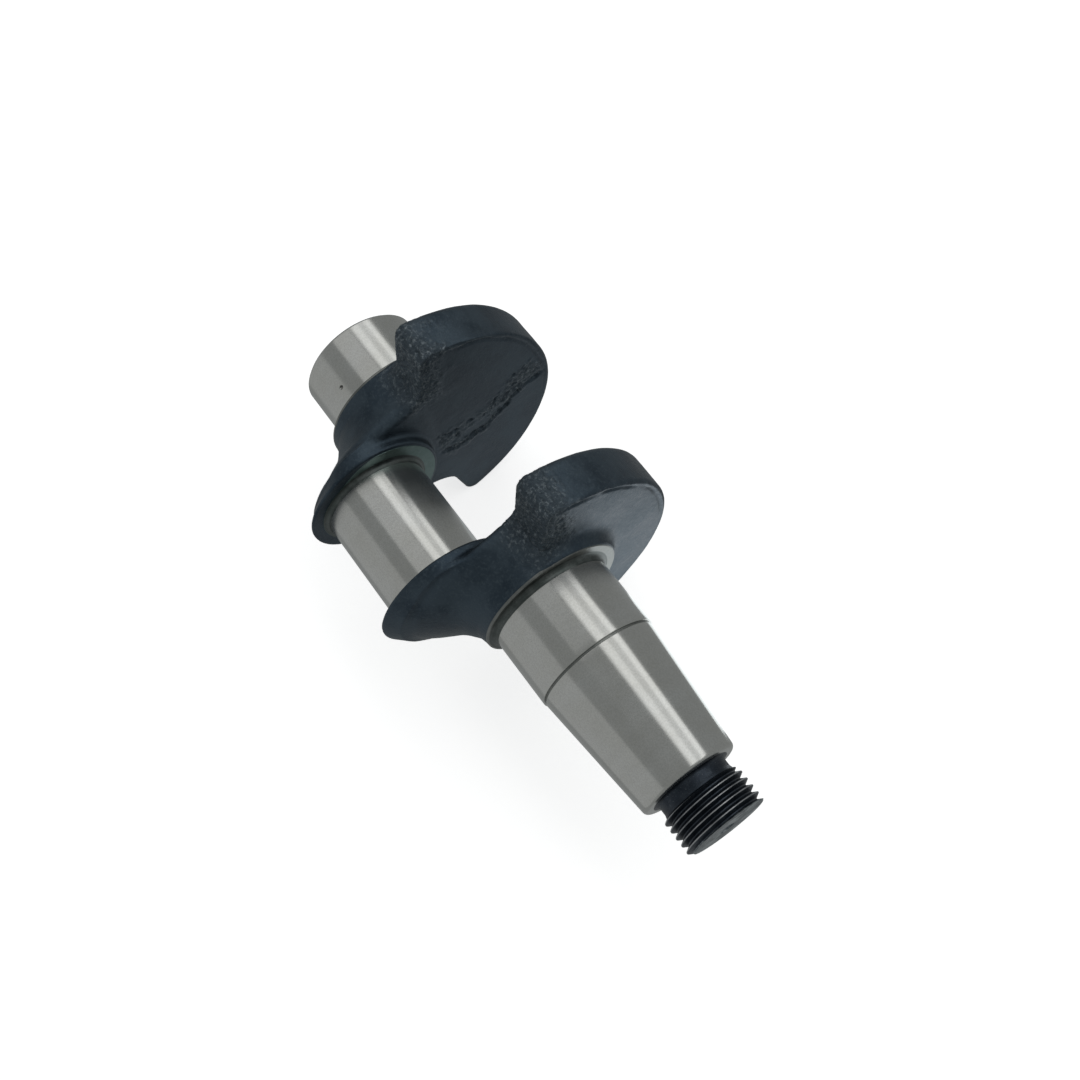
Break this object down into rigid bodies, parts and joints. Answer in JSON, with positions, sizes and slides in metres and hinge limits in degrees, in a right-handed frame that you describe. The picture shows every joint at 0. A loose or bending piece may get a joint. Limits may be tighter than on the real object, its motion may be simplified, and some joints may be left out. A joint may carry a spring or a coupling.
{
  "type": "crankshaft",
  "caption": "Forged single-throw crankshaft with counterweighted webs, ground journals and crankpin, a flywheel taper and a threaded end.",
  "frame": {"origin": "middle of the drive-end main journal, on the crank axis", "axes": "+X along the crank axis towards the threaded end; the crankpin lies towards -Y and the counterweights towards +Y; +Z is square to the throw"},
  "size_m": [0.1584, 0.0769, 0.0766],
  "materials": {
    "ground_steel": "fine ground, satin bright",
    "machined_steel": "turned, dull grey",
    "forged_skin": "black forging skin, satin and slightly pitted",
    "blackened_thread": "blackened, bright on the crests",
    "key_steel": "plain bright steel"
  },
  "bodies": {
    "root": {"free_end_journal": "ground_steel", "free_end_collar": "forged_skin", "free_end_cheek": "forged_skin", "free_end_counterweight": "forged_skin", "free_end_pin_boss": "machined_steel", "crankpin": "ground_steel", "drive_end_pin_boss": "machined_steel", "drive_end_cheek": "forged_skin", "drive_end_counterweight": "forged_skin", "drive_end_collar": "forged_skin", "drive_end_journal": "ground_steel", "grinding_relief": "machined_steel", "flywheel_taper": "ground_steel", "woodruff_key": "key_steel", "thread_relief_neck": "blackened_thread", "flywheel_thread": "blackened_thread"}
  },
  "joints": []
}
